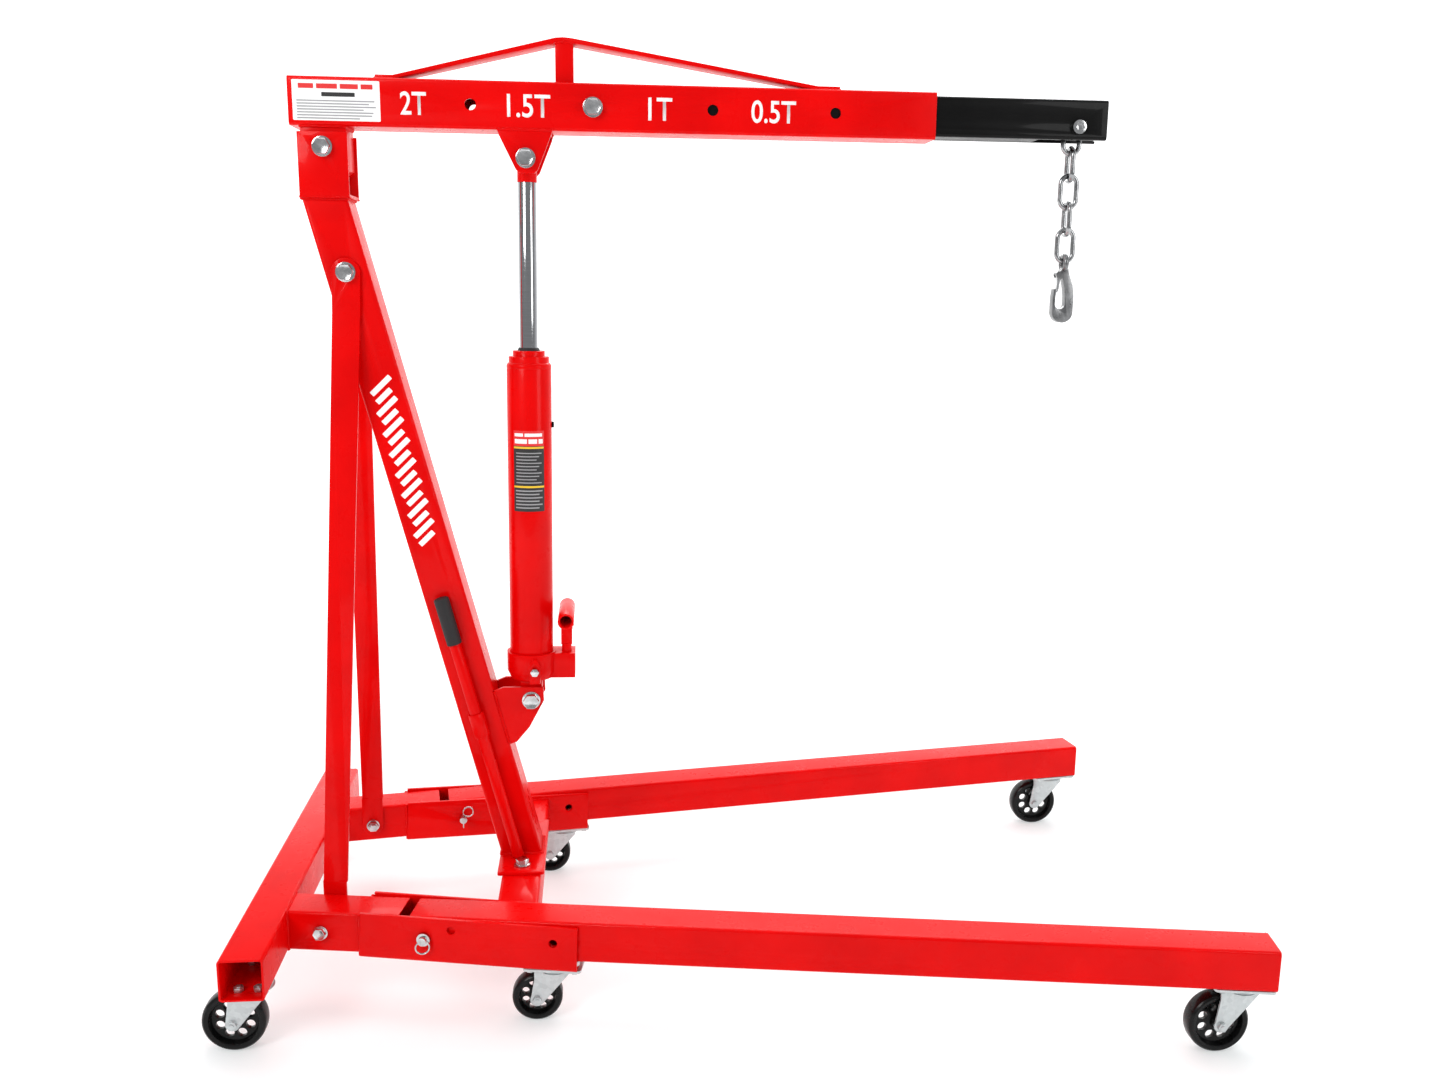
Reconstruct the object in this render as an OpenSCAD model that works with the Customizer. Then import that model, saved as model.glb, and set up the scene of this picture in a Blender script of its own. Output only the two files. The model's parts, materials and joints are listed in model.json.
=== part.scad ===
// Folding engine hoist crane: splayed wheeled legs, leaning mast, jib boom with a
// telescopic extension, long-ram jack, load chain and hook. Units are millimetres.
// +X points to the hook, +Y to the crane's left and +Z up. The origin is on the floor
// under the centre of the whole crane.

/* [Base frame] */
// Height of the top of the legs above the floor
leg_top = 170; // [168:1:176]
// Side of the square tube of the base and the legs
tube = 63; // [60:1:63]
// Wall of the base, mast and leg tubes
wall = 3; // [2.5:0.5:4]
// Half length of the rear crossbeam
beam_half = 364; // [355:1:380]
// Angle by which each leg splays outwards
splay = 9.06; // [8:0.1:10]
// Distance from the centre plane to the outer face of a stub at the crossbeam
root_y = 222.4; // [215:1:230]
// Length of a stub along its outer face
stub_len = 170; // [165:1:170]
// Distance from the crossbeam to the front end of a leg, along the leg
leg_end = 1459; // [1400:1:1500]
// Distance from the crossbeam to the pivot pin of a leg, along the leg
leg_pin_t = 210; // [210:1:212]
// Distance from the crossbeam to the lock hole of a leg, along the leg
lock_hole_t = 404; // [398:1:410]

/* [Mast] */
// Side of the square mast tube
mast_w = 65; // [63:1:66]
// Angle by which the mast leans back
mast_lean = 14.44; // [14:0.1:15]
// Place of the mast's centre line at the foot, ahead of the crossbeam's rear face
mast_foot_x = 400; // [396:1:404]
// Height at which the mast ends under its head
mast_top = 1220; // [1216:1:1222]

/* [Boom] */
// Height and width of the boom tube
boom_w = 70; // [68:1:70]
// Wall of the boom and of its extension
boom_wall = 4; // [3.5:0.5:4]
// Rear end of the boom, ahead of the crossbeam's rear face
boom_rear = 84; // [82:1:90]
// Front end of the boom
boom_front = 1054; // [1040:1:1060]
// Height of the boom's underside
boom_low = 1323; // [1320:1:1326]
// Side of the square extension tube
ext_w = 60; // [59:1:60]
// Front end of the extension, pinned in its second hole
ext_front = 1328; // [1310:1:1340]
// Diameter of the holes for the lock bolt
lock_hole_d = 16.5; // [16.5:0.5:18]

/* [Ram] */
// Outer diameter of the ram's cylinder
ram_d = 70; // [68:1:72]
// Diameter of the chromed rod
rod_d = 28; // [26:1:30]

/* [Casters] */
// Diameter of the rear and front wheels
big_wheel = 92; // [88:1:92]
// Diameter of the middle wheels
small_wheel = 76; // [72:1:76]
// Width of every wheel
wheel_w = 27; // [24:1:28]

/* [Chain and hook] */
// Diameter of the chain's wire
wire = 8; // [7:0.5:8]
// Outside length of a chain link
link_len = 58; // [56:1:60]
// Outside width of a chain link
link_w = 34; // [33:1:36]

/* [Hidden] */
$fn = 64;

red = [0.85, 0.05, 0.04];
zinc = [0.75, 0.77, 0.78];
black = [0.06, 0.06, 0.06];
chrome = [0.85, 0.86, 0.88];

// Clearances: between tubes that slide in each other, and round a turning shaft
slide_gap = 0.5;
run_gap = 0.05;
// Overshoot of a cutting shape past the surface it cuts
cut = 1;
// Outside corner radius of the drawn tubes
corner = 5;

leg_mid = leg_top - tube / 2;
leg_low = leg_top - tube;

// Channel that joins each stub to its leg
channel_start = 111;
channel_len = 328;
channel_plate = 5;
channel_low = leg_low - 5;
channel_h = 72;
channel_tilt = 1.83;
channel_out = tube / 2 + slide_gap + channel_plate;

leg_start = 186.7;
leg_chamfer = 10;
leg_plate = 3;
leg_pin_r = 6.4;
lock_hole_r = 6.5;
store_hole = [leg_pin_t + 41, leg_mid + 14];

// Front crossmember and the plate that the mast stands on
cross_x = 404.5;
foot_plate_h = 5;
cross_top = leg_top - 10;
mast_base = cross_top + foot_plate_h;
foot_bolt_y = 76;

// Mast head and the pivot of the boom
pivot = [131.6, 1293];
pivot_r = 8;
head_rear = 95.5;
head_front = 168;
head_half = 40;
head_plate = 4;
head_floor = 5;
head_top = 1314;

// Braces from the mast to the stubs
brace_top = [157, 1112];
brace_t = 51;
brace_plate = 6;
brace_y0 = mast_w / 2;
brace_bottom_x = tube + brace_t * cos(splay) + tube * sin(splay);
brace_y1 = root_y + brace_t * sin(splay) - tube * cos(splay);

// Ram pins, and the lean of the ram between them
ram_low = [421.5, 432];
ram_high = [428, 1283];
ram_len = norm(ram_high - ram_low);
ram_lean = atan2(ram_high[0] - ram_low[0], ram_high[1] - ram_low[1]);
ram_bolt_r = 8;
eye_half = 25;
lower_plate_in = 26;
lower_plate_out = 32;
upper_plate_in = 28;
upper_plate_out = 34;
base_low = 32;
base_top = 76;
bore_r = 29;
piston_low = 281;
piston_h = 24;
cylinder_top = 536;
gland_low = 518;
gland_top = 563;
pump_x = 57;
lever_z = 137;
fulcrum = [20, 114];
socket_r = 13;
socket_bore_r = 9.8;
socket_half = 55;
lever_pin_r = 3;
plunger_r = 8;
plug_z = 447;
plug_r = 3.2;
valve_r = 4.8;
valve_z = 52;

boom_mid = boom_low + boom_w / 2;
boom_holes = [348, 529, 709.6, 897.4];
ext_rear = 498;
ext_hole = boom_holes[1];

chain_at = [1282, 1347];
chain_bolt_r = 8;
chain_gap = 0.3;
chain_slot_rear = chain_at[0] - 60;
link_r = (link_w - wire) / 2;
link_pitch = link_len - 2 * wire - chain_gap;
first_link_z = chain_at[1] + chain_bolt_r + chain_gap + wire - link_len / 2;
eye_wire_r = 4.5;
eye_r = 11;
latch_hinge = [-8, 1122];
latch_half = 4.5;
eye_z = first_link_z - 4 * link_pitch - (link_len - wire) / 2 + wire / 2 + eye_wire_r + chain_gap - eye_r;

// Stored pump handle, in the mast's own leaning frame
handle_at = [-4, -45];
handle_r = 9.3;
grip_r = 12;
handle_low = -1.6;
handle_top = 453;
grip_len = 78;
clip_low = 215;
clip_len = 40;

// Casters: the swivel's place, the mounting height, the wheel's radius and the trail
rear_caster_x = 35;
rear_caster_y = 302;
mid_caster_t = 400;
front_caster_t = 1415;
big_trail = 32;
small_trail = 27;
mid_mount = 91.4;
shim_start = 250;
shim_len = 76;
shim_h = 3.5;
plate_h = 4;
race_h = 3;
race_r = 24;
crown_top = 8;
crown_h = 3;
fork_in = wheel_w / 2 + 2;
fork_plate = 3;
axle_r = 4;
caster_bolt_r = 4;

function leg_x(t, y) = tube + t * cos(splay) - y * sin(splay);
function leg_y(t, y) = root_y + t * sin(splay) + y * cos(splay);
function mast_x(z) = mast_foot_x - (z - leg_top) * tan(mast_lean);

rear_most = rear_caster_x - big_trail - big_wheel / 2;
front_most = leg_x(leg_end, -tube);
mid_x = (rear_most + front_most) / 2;

// ---- Frames and shared shapes ----

module in_frame() {
    translate([-mid_x, 0, 0]) children();
}

module hand(side) {
    if (side < 0) mirror([0, 1, 0]) children();
    else children();
}

module both_sides() {
    hand(1) children();
    hand(-1) children();
}

// Frame of the left leg: x runs forward along it, and its tube lies at y from -tube to 0
module along_leg() {
    translate([tube, root_y, 0]) rotate([0, 0, splay]) children();
}

module leaning() {
    translate([mast_foot_x, 0, leg_top]) rotate([0, -mast_lean, 0]) children();
}

// Frame of the ram: z runs up along it from the lower pin
module along_ram() {
    translate([ram_low[0], 0, ram_low[1]]) rotate([0, ram_lean, 0]) children();
}

module rounded(w, h, r) {
    square([w - 2 * r, h], center = true);
    square([w, h - 2 * r], center = true);
    for (x = [-1, 1], y = [-1, 1]) translate([x * (w / 2 - r), y * (h / 2 - r)]) circle(r);
}

module tube_section(w, t) {
    difference() {
        rounded(w, w, corner);
        rounded(w - 2 * t, w - 2 * t, corner - t);
    }
}

module tube_x(len, w, t) {
    rotate([90, 0, 90]) linear_extrude(len) tube_section(w, t);
}

// Shape drawn in the X-Z plane and given a thickness from y0 to y1
module slab(y0, y1) {
    translate([0, y1, 0]) rotate([90, 0, 0]) linear_extrude(y1 - y0) children();
}

module pin_y(r, y0, y1) {
    translate([0, y0, 0]) rotate([-90, 0, 0]) cylinder(r = r, h = y1 - y0);
}

module hex_y(r, y0, y1) {
    translate([0, y0, 0]) rotate([-90, 0, 0]) cylinder(r = r, h = y1 - y0, $fn = 6);
}

// Bolt along Y with its head on the right, over a grip from -half to half
module bolt_y(r, half, play) {
    washer_h = 2.5;
    head_h = 1.2 * r;
    face = half + play;
    pin_y(r, -face - washer_h, face + washer_h + head_h + 3);
    pin_y(1.85 * r, -face - washer_h, -face);
    pin_y(1.85 * r, face, face + washer_h);
    hex_y(1.6 * r, -face - washer_h - head_h, -face - washer_h);
    hex_y(1.6 * r, face + washer_h, face + washer_h + head_h);
}

// ---- Base frame ----

module rear_crossbeam() {
    color(red) in_frame() difference() {
        translate([tube / 2, 0, leg_mid]) rotate([90, 0, 0])
            linear_extrude(2 * beam_half, center = true) tube_section(tube, wall);
        both_sides() translate([rear_caster_x, rear_caster_y, leg_low - cut])
            caster_bolt_grid(14, 38) cylinder(r = caster_bolt_r + slide_gap / 2, h = wall + 2 * cut);
    }
}

module stub() {
    difference() {
        along_leg() translate([-14, -tube / 2, leg_mid]) tube_x(stub_len + 14, tube, wall);
        translate([-tube, 0, leg_low - cut]) cube([2 * tube, beam_half, tube + 2 * cut]);
        along_leg() translate([brace_t, 0, leg_mid]) pin_y(6.2, -tube - cut, cut);
    }
}

module right_stub() { color(red) in_frame() hand(-1) stub(); }
module left_stub() { color(red) in_frame() stub(); }

module channel_section() {
    out_w = 2 * channel_out;
    in_w = out_w - 2 * channel_plate;
    difference() {
        translate([0, channel_h / 2 + 10]) rounded(out_w, channel_h + 20, 7);
        translate([0, channel_h / 2 + 14]) rounded(in_w, channel_h + 20, 2);
        translate([-out_w, channel_h]) square([2 * out_w, 40]);
    }
}

module channel_at() {
    along_leg() translate([channel_start, -tube / 2, channel_low])
        rotate([0, channel_tilt, 0]) children();
}

module channel() {
    difference() {
        channel_at() rotate([90, 0, 90]) linear_extrude(channel_len) channel_section();
        along_leg() {
            translate([leg_pin_t, 0, leg_mid]) pin_y(leg_pin_r + run_gap, -tube - 10, 10);
            translate([lock_hole_t, 0, leg_mid]) pin_y(lock_hole_r, -tube - 10, 10);
            translate([store_hole[0], 0, store_hole[1]]) pin_y(lock_hole_r, -tube / 2, 10);
        }
        translate([leg_x(mid_caster_t, -tube / 2), leg_y(mid_caster_t, -tube / 2), mid_mount - 5])
            rotate([0, 0, splay]) caster_bolt_grid(34, 22)
                cylinder(r = caster_bolt_r + slide_gap / 2, h = 16);
    }
}

module right_channel() { color(red) in_frame() hand(-1) channel(); }
module left_channel() { color(red) in_frame() channel(); }

module front_crossmember() {
    color(red) in_frame() difference() {
        translate([cross_x, 0, cross_top - tube / 2]) rotate([90, 0, 0])
            linear_extrude(500, center = true) tube_section(tube, wall);
        both_sides() along_leg()
            translate([100, -tube / 2 - channel_out, 60]) cube([400, 200, 140]);
        both_sides() translate([cross_x, foot_bolt_y, cross_top - 10]) cylinder(r = 6.2, h = 20);
    }
}

module mast_foot_plate() {
    color(red) in_frame() difference() {
        translate([cross_x - 1, 0, cross_top]) linear_extrude(foot_plate_h) rounded(75, 210, 4);
        both_sides() translate([cross_x, foot_bolt_y, cross_top - cut])
            cylinder(r = 6.2, h = foot_plate_h + 2 * cut);
    }
}

module mast() {
    color(red) in_frame() difference() {
        leaning() translate([0, 0, -40]) linear_extrude(1160) tube_section(mast_w, wall);
        translate([mast_foot_x - 100, -50, mast_base - 100]) cube([250, 100, 100]);
        translate([0, -50, mast_top]) cube([250, 100, 120]);
        translate([brace_top[0], 0, brace_top[1]]) pin_y(8.2, -50, 50);
    }
}

module mast_head() {
    head_len = head_front - head_rear;
    web_h = 31;
    color(red) in_frame() difference() {
        union() {
            for (s = [-1, 1]) translate([head_rear, s > 0 ? head_half - head_plate : -head_half, mast_top])
                cube([head_len, head_plate, head_top - mast_top]);
            translate([head_rear, -head_half, mast_top]) cube([head_len, 2 * head_half, head_floor]);
            translate([head_rear, -head_half, mast_top]) cube([head_plate, 2 * head_half, web_h]);
        }
        translate([pivot[0], 0, pivot[1]]) pin_y(pivot_r + run_gap, -50, 50);
    }
}

module ram_lower_bracket() {
    face = mast_w / 2 / cos(mast_lean);
    top_z = 448;
    toe_z = 357;
    web_low = (toe_z + 8 - leg_top) / cos(mast_lean);
    web_len = 60;
    color(red) in_frame() difference() {
        union() {
            for (s = [-1, 1]) slab(s > 0 ? lower_plate_in : -lower_plate_out,
                                   s > 0 ? lower_plate_out : -lower_plate_in)
                polygon([
                    [mast_x(top_z) + face, top_z], [377, 454], [441, 453], [442, 431],
                    [418, 386], [397, 361], [mast_x(toe_z) + face, toe_z]
                ]);
            leaning() translate([mast_w / 2, -lower_plate_out, web_low])
                cube([4, 2 * lower_plate_out, web_len]);
        }
        translate([ram_low[0], 0, ram_low[1]]) pin_y(ram_bolt_r + run_gap, -50, 50);
    }
}

// Flat bar with rounded ends, cranked at the mast and turned to lie on the stub
module brace() {
    top_r = 21;
    low_r = 18;
    top_tab = 60;
    low_tab = 50;
    tab_top = leg_mid + low_tab;
    y_in = brace_y1 - brace_plate;
    top = brace_top[1] + top_r + 1;
    difference() {
        union() {
            intersection() {
                rotate([90, 0, 90]) linear_extrude(400) polygon([
                    [brace_y0, top], [brace_y0 + brace_plate, top],
                    [brace_y0 + brace_plate, brace_top[1] - top_tab], [brace_y1, tab_top],
                    [y_in, tab_top], [brace_y0, brace_top[1] - top_tab]
                ]);
                slab(0, 300) {
                    translate(brace_top) circle(top_r);
                    polygon([
                        [brace_top[0] - top_r, brace_top[1]], [brace_top[0] + top_r, brace_top[1]],
                        [brace_bottom_x + low_r, leg_mid], [brace_bottom_x - low_r, leg_mid]
                    ]);
                }
            }
            along_leg() slab(-tube - brace_plate, -tube) {
                translate([brace_t, leg_mid]) circle(low_r);
                translate([brace_t - low_r, leg_mid]) square([2 * low_r, low_tab + 2]);
            }
        }
        translate([brace_top[0], 0, brace_top[1]]) pin_y(8.2, 0, 60);
        along_leg() translate([brace_t, 0, leg_mid]) pin_y(6.2, -tube - 30, cut);
    }
}

module right_brace() { color(red) in_frame() hand(-1) brace(); }
module left_brace() { color(red) in_frame() brace(); }

module frame_bolts() {
    color(zinc) in_frame() {
        translate([brace_top[0], 0, brace_top[1]]) bolt_y(8, brace_y0 + brace_plate, 0);
        both_sides() along_leg() translate([brace_t, -(tube + brace_plate) / 2, leg_mid])
            mirror([0, 1, 0]) bolt_y(6, (tube + brace_plate) / 2, 0);
        both_sides() translate([cross_x, foot_bolt_y, mast_base]) {
            translate([0, 0, -18]) cylinder(r = 6, h = 20);
            translate([0, 0, -17]) cylinder(r = 10.5, h = 8, $fn = 6);
            cylinder(r = 13, h = 2.5);
            translate([0, 0, 2.5]) cylinder(r = 10.5, h = 8, $fn = 6);
        }
    }
}

// Pivot pin of the left leg: head and split ring outside, spring clip inside
module leg_pin() {
    head_h = 5;
    out = channel_out - tube / 2;
    ring_r = 10;
    along_leg() translate([leg_pin_t, 0, leg_mid]) {
        pin_y(leg_pin_r, -tube - out - 16, out + 12);
        pin_y(10, out + 0.2, out + 0.2 + head_h);
        translate([0, out + 9, -ring_r]) rotate([0, 0, 74]) rotate([90, 0, 90])
            rotate_extrude() translate([ring_r, 0]) circle(1.3, $fn = 24);
        translate([0, -tube - out - 11, 0]) {
            translate([0, 0, -16]) cylinder(r = 1.3, h = 34, $fn = 24);
            translate([9, 0, 14]) rotate([90, 0, 0])
                rotate_extrude() translate([9, 0]) circle(1.3, $fn = 24);
        }
    }
}

module leg_pins() { color(zinc) in_frame() both_sides() leg_pin(); }

module handle_clip() {
    clip_r = 12.4;
    color(red) in_frame() leaning() translate([handle_at[0], handle_at[1], clip_low]) difference() {
        union() {
            cylinder(r = clip_r, h = clip_len);
            translate([-6, 0, 0]) cube([12, -handle_at[1] - mast_w / 2, clip_len]);
        }
        translate([0, 0, -cut]) cylinder(r = handle_r + 0.4, h = clip_len + 2 * cut);
    }
}

// ---- Legs ----

module leg() {
    along_leg() difference() {
        union() {
            translate([leg_start, -tube / 2, leg_mid]) tube_x(leg_end - leg_start, tube, wall);
            translate([leg_end - leg_plate, -tube / 2, leg_mid]) rotate([90, 0, 90])
                linear_extrude(leg_plate) rounded(tube - 2, tube - 2, corner - 1);
        }
        translate([leg_start, -tube / 2, leg_low]) rotate([0, 45, 0])
            cube([leg_chamfer * sqrt(2), 2 * tube, leg_chamfer * sqrt(2)], center = true);
        translate([leg_pin_t, 0, leg_mid]) pin_y(leg_pin_r + run_gap, -tube - cut, cut);
        translate([lock_hole_t, 0, leg_mid]) pin_y(lock_hole_r, -tube - cut, cut);
        translate([front_caster_t, -tube / 2, leg_low - cut])
            caster_bolt_grid(33, 20) cylinder(r = caster_bolt_r + slide_gap / 2, h = wall + 2 * cut);
    }
}

module right_leg() { color(red) in_frame() hand(-1) leg(); }
module left_leg() { color(red) in_frame() leg(); }

// ---- Casters ----

module caster_bolt_grid(dx, dy) {
    for (x = [-1, 1], y = [-1, 1]) translate([x * dx, y * dy, 0]) children();
}

// Top plate with the fixed race, the kingpin and four bolts, hung from z = 0
module caster_plate(w, l, dx, dy, floor_t) {
    $fn = 32;
    translate([0, 0, -plate_h]) linear_extrude(plate_h) rounded(w, l, 6);
    translate([0, 0, -plate_h - race_h]) cylinder(r = race_r, h = race_h);
    translate([0, 0, -crown_top - crown_h - 2]) cylinder(r = 5.5, h = 10);
    translate([0, 0, -crown_top - crown_h - 3]) cylinder(r = 8, h = 2.6);
    caster_bolt_grid(dx, dy) {
        translate([0, 0, -plate_h - 2.5]) cylinder(r = 6.5, h = 2.5, $fn = 6);
        translate([0, 0, -plate_h - cut]) cylinder(r = caster_bolt_r, h = plate_h + floor_t + 9);
        translate([0, 0, floor_t + 0.2]) cylinder(r = 7.4, h = 6.5, $fn = 6);
    }
}

module at_mid_caster() {
    translate([leg_x(mid_caster_t, -tube / 2), leg_y(mid_caster_t, -tube / 2), mid_mount]) children();
}

module at_front_caster() {
    translate([leg_x(front_caster_t, -tube / 2), leg_y(front_caster_t, -tube / 2), leg_low]) children();
}

module at_rear_caster() {
    translate([rear_caster_x, rear_caster_y, leg_low]) children();
}

module caster_plates() {
    color(zinc) in_frame() both_sides() {
        at_rear_caster() caster_plate(46, 92, 14, 38, wall);
        at_mid_caster() rotate([0, 0, splay]) caster_plate(88, 60, 34, 22, 6.6);
        channel_at() translate([shim_start, -28, -shim_h]) cube([shim_len, 56, shim_h]);
    }
}

module front_plate() {
    at_front_caster() rotate([0, 0, splay]) caster_plate(88, 60, 33, 20, wall);
}

module right_front_plate() { color(zinc) in_frame() hand(-1) front_plate(); }
module left_front_plate() { color(zinc) in_frame() front_plate(); }

// Swivel fork with its axle bolt, hung from z = 0 and trailing towards -X
module fork(mount_h, wheel_d, trail) {
    axle_z = wheel_d / 2 - mount_h;
    top = -crown_top;
    out = fork_in + fork_plate;
    difference() {
        union() {
            translate([0, 0, top - crown_h]) cylinder(r = race_r, h = crown_h);
            translate([0, 0, top - crown_h]) cylinder(r = race_r + 2, h = 1.5);
            translate([-trail - 4, -out, top - crown_h]) cube([trail + 4, 2 * out, crown_h]);
            for (s = [-1, 1]) slab(s > 0 ? fork_in : -out, s > 0 ? out : -fork_in) {
                translate([-trail, axle_z]) circle(10.5);
                polygon([
                    [-trail - 4, top], [20, top], [21, top - 5],
                    [-trail + 8.5, axle_z - 6], [-trail - 10.3, axle_z - 2], [-trail - 4, top - 12]
                ]);
            }
        }
        translate([0, 0, top - 30]) cylinder(r = 5.5 + run_gap, h = 40);
        translate([0, 0, top - crown_h - 3.5]) cylinder(r = 8.5, h = 3.8);
    }
    translate([-trail, 0, axle_z]) {
        pin_y(axle_r, -out - 1, out + 8);
        hex_y(7.2, -out - 5.5, -out);
        hex_y(7.2, out, out + 6);
    }
}

module wheel(d) {
    hub_r = 10;
    rim_in = d / 2 - 10;
    half = wheel_w / 2;
    hole_at = (hub_r + rim_in) / 2;
    hole_r = 0.29 * hole_at;
    difference() {
        rotate([90, 0, 0]) rotate_extrude($fn = 96) polygon([
            [axle_r + run_gap, -half - 1], [hub_r - 1, -half - 1], [hub_r, -half], [hub_r + 1, -4],
            [rim_in - 3, -3], [rim_in, -half + 1.5], [d / 2 - 4, -half], [d / 2 - 1, -half + 3],
            [d / 2, -half + 7], [d / 2, half - 7], [d / 2 - 1, half - 3], [d / 2 - 4, half],
            [rim_in, half - 1.5], [rim_in - 3, 3], [hub_r + 1, 4], [hub_r, half],
            [hub_r - 1, half + 1], [axle_r + run_gap, half + 1]
        ]);
        for (i = [0:7]) rotate([0, 22.5 + i * 45, 0])
            translate([hole_at, 0, 0]) pin_y(hole_r, -10, 10);
    }
}

module big_fork() { fork(leg_low, big_wheel, big_trail); }
module small_fork() { fork(mid_mount, small_wheel, small_trail); }
module big_roller() { translate([-big_trail, 0, big_wheel / 2 - leg_low]) wheel(big_wheel); }
module small_roller() { translate([-small_trail, 0, small_wheel / 2 - mid_mount]) wheel(small_wheel); }

module rear_right_fork() { color(zinc) in_frame() hand(-1) at_rear_caster() big_fork(); }
module rear_left_fork() { color(zinc) in_frame() at_rear_caster() big_fork(); }
module mid_right_fork() { color(zinc) in_frame() hand(-1) at_mid_caster() small_fork(); }
module mid_left_fork() { color(zinc) in_frame() at_mid_caster() small_fork(); }
module front_right_fork() { color(zinc) in_frame() hand(-1) at_front_caster() big_fork(); }
module front_left_fork() { color(zinc) in_frame() at_front_caster() big_fork(); }
module rear_right_wheel() { color(black) in_frame() hand(-1) at_rear_caster() big_roller(); }
module rear_left_wheel() { color(black) in_frame() at_rear_caster() big_roller(); }
module mid_right_wheel() { color(black) in_frame() hand(-1) at_mid_caster() small_roller(); }
module mid_left_wheel() { color(black) in_frame() at_mid_caster() small_roller(); }
module front_right_wheel() { color(black) in_frame() hand(-1) at_front_caster() big_roller(); }
module front_left_wheel() { color(black) in_frame() at_front_caster() big_roller(); }

// ---- Boom ----

module boom_pivot_bolt() {
    color(zinc) in_frame() translate([pivot[0], 0, pivot[1]]) bolt_y(pivot_r, head_half, 0.2);
}

module boom_tube() {
    color(red) in_frame() difference() {
        translate([boom_rear, 0, boom_mid]) tube_x(boom_front - boom_rear, boom_w, boom_wall);
        for (x = boom_holes) translate([x, 0, boom_mid]) pin_y(lock_hole_d / 2, -50, 50);
    }
}

// Box under the boom's rear end that turns on the pivot bolt
module boom_lug() {
    half = 30;
    plate = 6;
    color(red) in_frame() difference() {
        translate([pivot[0], 0, pivot[1]]) {
            difference() {
                slab(-half, half) intersection() {
                    circle(46);
                    translate([-33, -39]) square([66, boom_low - pivot[1] + 39]);
                }
                slab(plate - half, half - plate)
                    translate([plate - 33, -40]) square([66 - 2 * plate, 80]);
            }
            pin_y(pivot_r + 6, -half, half);
        }
        translate([pivot[0], 0, pivot[1]]) pin_y(pivot_r + run_gap, -50, 50);
    }
}

module boom_ram_bracket() {
    top_h = 4;
    color(red) in_frame() {
        for (s = [-1, 1]) slab(s > 0 ? upper_plate_in : -upper_plate_out,
                               s > 0 ? upper_plate_out : -upper_plate_in)
            difference() {
                polygon([
                    [386, boom_low], [389, 1315], [413, 1266], [419, 1261], [441, 1261],
                    [446, 1266], [465, 1313], [468, boom_low]
                ]);
                translate(ram_high) circle(ram_bolt_r);
            }
        translate([388, -upper_plate_in, boom_low - top_h]) cube([78, 2 * upper_plate_in, top_h]);
    }
}

// Flat straps over a post, which stiffen the top of the boom
module boom_truss() {
    strap = 6;
    half = 20;
    top = boom_low + boom_w;
    peak = 1453;
    color(red) in_frame() {
        slab(-half, half) polygon([
            [208, top], [234, top], [236, top + 1], [486, peak], [486, peak + strap],
            [474, peak + strap - 1], [234, top + strap], [208, top + strap]
        ]);
        slab(-half, half) polygon([
            [486.2, peak], [868, top + 1], [872, top], [906, top], [906, top + strap],
            [872, top + strap], [498, peak + strap - 1], [486.2, peak + strap]
        ]);
        slab(-half, half) polygon([
            [473.5, top], [500.5, top], [500.5, peak - 2.6], [486, peak - 0.3], [473.5, peak - 3.4]
        ]);
    }
}

// Head and nut halves of the lock bolt and of the ram's upper bolt, which end in the
// walls they pass through
module boom_bolts() {
    side_half = boom_w / 2;
    wall_in = side_half - boom_wall + 0.5;
    color(zinc) in_frame() {
        translate([boom_holes[1], 0, boom_mid]) difference() {
            bolt_y(8, side_half, 0);
            pin_y(30, -wall_in, wall_in);
        }
        translate([ram_high[0], 0, ram_high[1]]) difference() {
            bolt_y(ram_bolt_r, upper_plate_out, 0);
            pin_y(30, -upper_plate_in, upper_plate_in);
        }
    }
}

module boom_extension() {
    slot_half = 20.5;
    color(black) in_frame() difference() {
        translate([ext_rear, 0, boom_mid]) tube_x(ext_front - ext_rear, ext_w, boom_wall);
        translate([ext_hole, 0, boom_mid]) pin_y(lock_hole_d / 2, -50, 50);
        translate([chain_at[0], 0, chain_at[1]]) pin_y(chain_bolt_r + run_gap, -50, 50);
        translate([chain_slot_rear, -slot_half, boom_mid - ext_w / 2 - cut])
            cube([ext_front - chain_slot_rear + cut, 2 * slot_half, boom_wall + 2 * cut]);
    }
}

module chain_bolt() {
    half = ext_w / 2 + 0.2;
    color(zinc) in_frame() translate([chain_at[0], 0, chain_at[1]]) {
        pin_y(chain_bolt_r, -half - 1, half + 11);
        difference() {
            pin_y(10.5, -half - 5, -half);
            translate([0, -half - 6, 0]) pin_y(4, 0, 2.5);
        }
        hex_y(11, half, half + 8);
    }
}

// ---- Chain and hook ----

// Oval link in the X-Z plane
module chain_link() {
    straight = link_len - link_w;
    for (s = [0, 180]) rotate([0, s, 0]) {
        translate([0, 0, straight / 2]) rotate([90, 0, 0])
            rotate_extrude(angle = 180) translate([link_r, 0]) circle(wire / 2, $fn = 32);
        translate([link_r, 0, -straight / 2]) cylinder(r = wire / 2, h = straight, $fn = 32);
    }
}

module placed_link(i) {
    color(zinc) in_frame() translate([chain_at[0], 0, first_link_z - i * link_pitch])
        rotate([0, 0, 90 * (i % 2)]) chain_link();
}

module chain_link_1() { placed_link(0); }
module chain_link_2() { placed_link(1); }
module chain_link_3() { placed_link(2); }
module chain_link_4() { placed_link(3); }
module chain_link_5() { placed_link(4); }

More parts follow.
